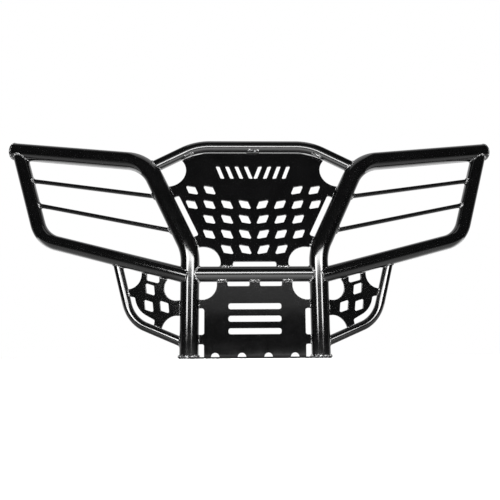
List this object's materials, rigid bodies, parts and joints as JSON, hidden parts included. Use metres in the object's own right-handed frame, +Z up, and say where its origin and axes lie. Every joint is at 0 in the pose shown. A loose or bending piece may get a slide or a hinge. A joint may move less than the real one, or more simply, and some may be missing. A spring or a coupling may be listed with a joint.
{
  "type": "front grille guard",
  "caption": "Welded tubular steel grille guard with swept-back wings, perforated grille plates and a folded bolt-on flange, for the front of an off-road vehicle.",
  "frame": {"origin": "centre of the mounting flange's four bolt holes, on the flange's flat underside", "axes": "+Z up; the guard's front faces -Y and its wings sweep back to +Y; +X is to the right seen from the front, and X = 0 is the plane of symmetry"},
  "size_m": [1.0862, 0.1887, 0.4841],
  "materials": {
    "gloss_black_tube": "gloss black powder coat on steel tube",
    "gloss_black_plate": "gloss black powder coat on steel plate"
  },
  "bodies": {
    "root": {"main_tube_left": "gloss_black_tube", "main_tube_right": "gloss_black_tube", "wing_tube_left": "gloss_black_tube", "wing_tube_right": "gloss_black_tube", "corner_tube_left": "gloss_black_tube", "corner_tube_right": "gloss_black_tube", "guard_rod_upper_left": "gloss_black_tube", "guard_rod_upper_right": "gloss_black_tube", "guard_rod_lower_left": "gloss_black_tube", "guard_rod_lower_right": "gloss_black_tube", "tip_cap_left": "gloss_black_tube", "tip_cap_right": "gloss_black_tube", "cross_tube": "gloss_black_tube", "top_hoop": "gloss_black_tube", "corner_plate_left": "gloss_black_plate", "corner_plate_right": "gloss_black_plate", "rear_mount_tab_left": "gloss_black_plate", "rear_mount_tab_right": "gloss_black_plate", "grille_plate": "gloss_black_plate", "lower_plate": "gloss_black_plate"}
  },
  "joints": []
}
